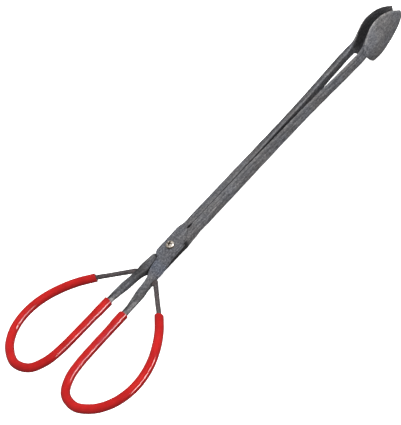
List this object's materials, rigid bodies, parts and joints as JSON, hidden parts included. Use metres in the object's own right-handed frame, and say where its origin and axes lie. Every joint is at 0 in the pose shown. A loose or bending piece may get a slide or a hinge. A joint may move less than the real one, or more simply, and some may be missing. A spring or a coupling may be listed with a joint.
{
  "type": "long scissor tongs",
  "caption": "Long forged-steel scissor tongs with spoon-shaped jaws on slim square arms, a screw pivot and closed finger loops sleeved in red plastic.",
  "frame": {"origin": "centre of the bounding box in X and Y, on the plane of the spoons' lowest edge", "axes": "+Y along the tongs from the finger loops to the spoon jaws, +Z along the pivot screw towards its head, +X across the tongs to the upper arm's finger loop"},
  "size_m": [0.1512, 0.491, 0.0382],
  "materials": {
    "forged_steel": "dark as-forged scale, slightly mottled, satin",
    "rod_steel": "drawn rod with a brown-purple heat tint near its welds",
    "weld_metal": "dark heat-tinted weld",
    "red_sleeve": "smooth glossy soft plastic",
    "plated_steel": "bright plated, faintly yellow"
  },
  "bodies": {
    "lower_half": {"bottom_arm": "forged_steel", "bottom_loop_rod": "rod_steel", "bottom_return_weld": "weld_metal", "bottom_butt_weld": "weld_metal", "bottom_grip_sleeve": "red_sleeve", "pivot_screw": "plated_steel", "pivot_washer": "plated_steel", "pivot_nut": "plated_steel"},
    "upper_half": {"top_arm": "forged_steel", "top_loop_rod": "rod_steel", "top_return_weld": "weld_metal", "top_butt_weld": "weld_metal", "top_grip_sleeve": "red_sleeve"}
  },
  "joints": [
    {"name": "pivot", "type": "hinge", "parent": "lower_half", "child": "upper_half", "pos_m": [0, -0.0822, 0.02], "axis": [0, 0, 1], "range_deg": [0, 45]}
  ]
}
